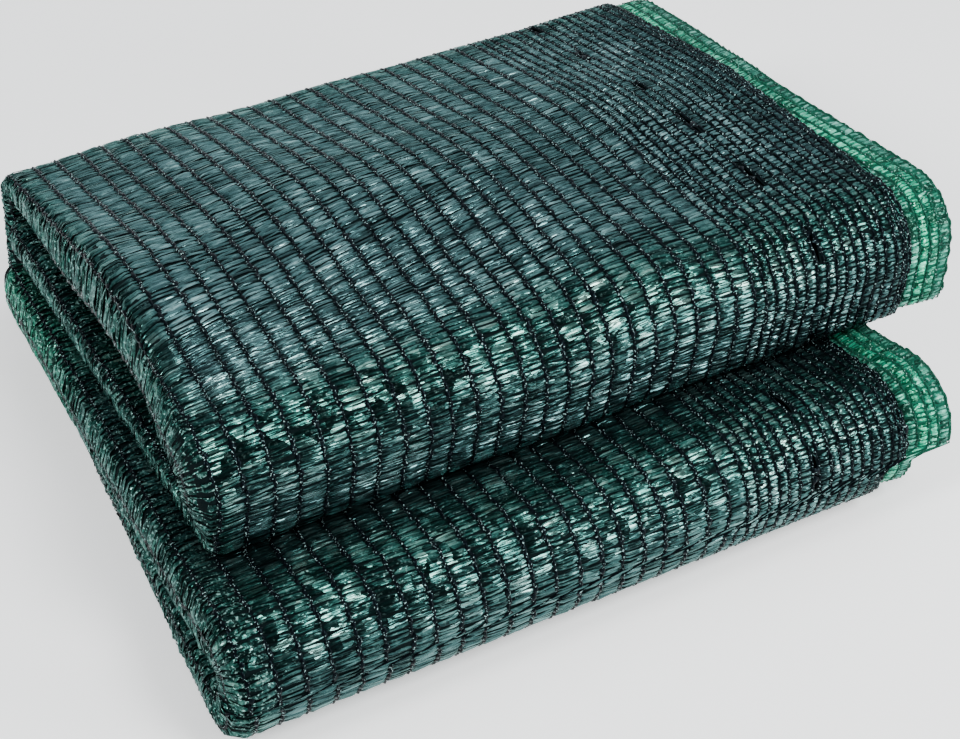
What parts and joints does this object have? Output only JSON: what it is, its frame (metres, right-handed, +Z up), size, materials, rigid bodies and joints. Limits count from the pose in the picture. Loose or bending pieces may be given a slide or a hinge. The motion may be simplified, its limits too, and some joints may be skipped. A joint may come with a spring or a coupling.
{
  "type": "folded shade cloth",
  "caption": "Knitted garden shade cloth, doubled twice across and once along, lying as a flat folded pack with two soft rolls at the front and its light selvedge showing past the dark one.",
  "frame": {"origin": "on the surface the cloth lies on, under the middle of the pack", "axes": "+X from the closed folds to the selvedges, along the pack's longest side; +Y from the two front rolls to the back wrap; +Z up, through the layers"},
  "size_m": [0.2956, 0.268, 0.0925],
  "materials": {
    "knitted_tape": "satin"
  },
  "bodies": {
    "root": {"shade_cloth": "knitted_tape"}
  },
  "joints": []
}
